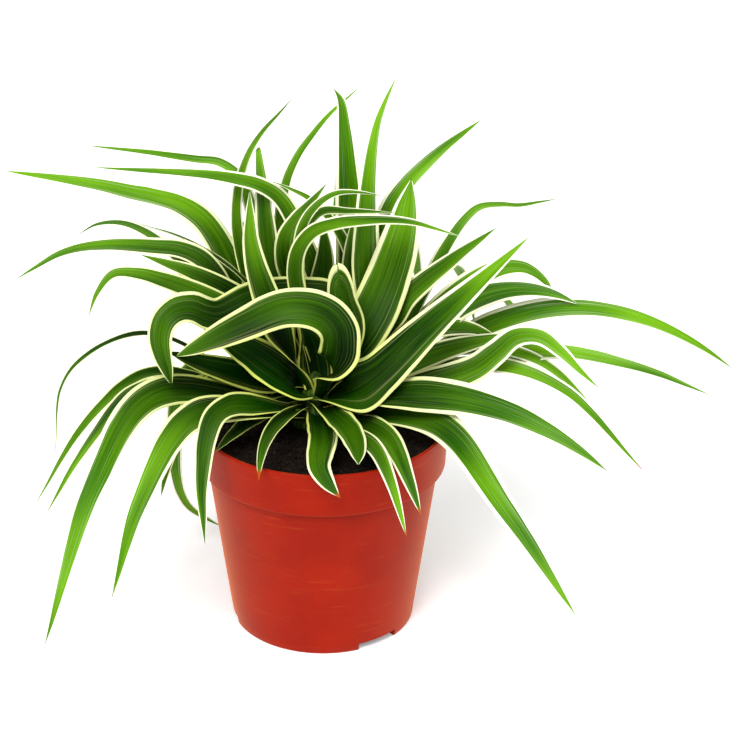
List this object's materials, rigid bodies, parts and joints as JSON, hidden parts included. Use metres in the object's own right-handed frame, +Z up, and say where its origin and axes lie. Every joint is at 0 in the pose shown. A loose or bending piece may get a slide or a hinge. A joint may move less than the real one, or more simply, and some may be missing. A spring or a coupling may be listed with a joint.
{
  "type": "potted spider plant",
  "caption": "Spider plant with arching cream-edged leaves growing from crowns in soil, in a round tapered plastic nursery pot.",
  "frame": {"origin": "centre of the pot's flat underside, where it stands", "axes": "+Z up, -Y towards the viewer of the picture, +X to that viewer's right"},
  "size_m": [0.348, 0.28, 0.2553],
  "materials": {
    "terracotta_plastic": "satin moulded polypropylene, terracotta red, lightly dusty",
    "potting_soil": "moist crumbly peat and bark mix, near black",
    "leaf_sheath": "pale green leaf bases, satin",
    "leaf_blade": "satin green leaf with cream margins and fine lengthwise streaks"
  },
  "bodies": {
    "root": {"pot": "terracotta_plastic", "soil": "potting_soil", "crown_front": "leaf_sheath", "crown_left": "leaf_sheath", "crown_right": "leaf_sheath", "leaf_low_left_1": "leaf_blade", "leaf_low_left_2": "leaf_blade", "leaf_low_left_3": "leaf_blade", "leaf_low_left_4": "leaf_blade", "leaf_low_left_5": "leaf_blade", "leaf_low_left_6": "leaf_blade", "leaf_low_left_7": "leaf_blade", "leaf_low_left_8": "leaf_blade", "leaf_front_1": "leaf_blade", "leaf_front_2": "leaf_blade", "leaf_front_3": "leaf_blade", "leaf_front_4": "leaf_blade", "leaf_front_5": "leaf_blade", "leaf_front_6": "leaf_blade", "leaf_low_right_1": "leaf_blade", "leaf_low_right_2": "leaf_blade", "leaf_low_right_3": "leaf_blade", "leaf_heart_1": "leaf_blade", "leaf_heart_2": "leaf_blade", "leaf_heart_3": "leaf_blade", "leaf_heart_4": "leaf_blade", "leaf_heart_5": "leaf_blade", "leaf_heart_6": "leaf_blade", "leaf_left_1": "leaf_blade", "leaf_left_2": "leaf_blade", "leaf_left_3": "leaf_blade", "leaf_left_4": "leaf_blade", "leaf_left_5": "leaf_blade", "leaf_left_6": "leaf_blade", "leaf_left_7": "leaf_blade", "leaf_left_8": "leaf_blade", "leaf_top_1": "leaf_blade", "leaf_top_2": "leaf_blade", "leaf_top_3": "leaf_blade", "leaf_top_4": "leaf_blade", "leaf_top_5": "leaf_blade", "leaf_top_6": "leaf_blade", "leaf_top_7": "leaf_blade", "leaf_top_8": "leaf_blade", "leaf_top_9": "leaf_blade", "leaf_top_10": "leaf_blade", "leaf_top_11": "leaf_blade", "leaf_right_1": "leaf_blade", "leaf_right_2": "leaf_blade", "leaf_right_3": "leaf_blade", "leaf_right_4": "leaf_blade", "leaf_right_5": "leaf_blade", "leaf_right_6": "leaf_blade", "leaf_right_7": "leaf_blade", "leaf_back_1": "leaf_blade", "leaf_back_2": "leaf_blade", "leaf_back_3": "leaf_blade", "leaf_back_4": "leaf_blade", "leaf_back_5": "leaf_blade", "leaf_back_6": "leaf_blade"}
  },
  "joints": []
}
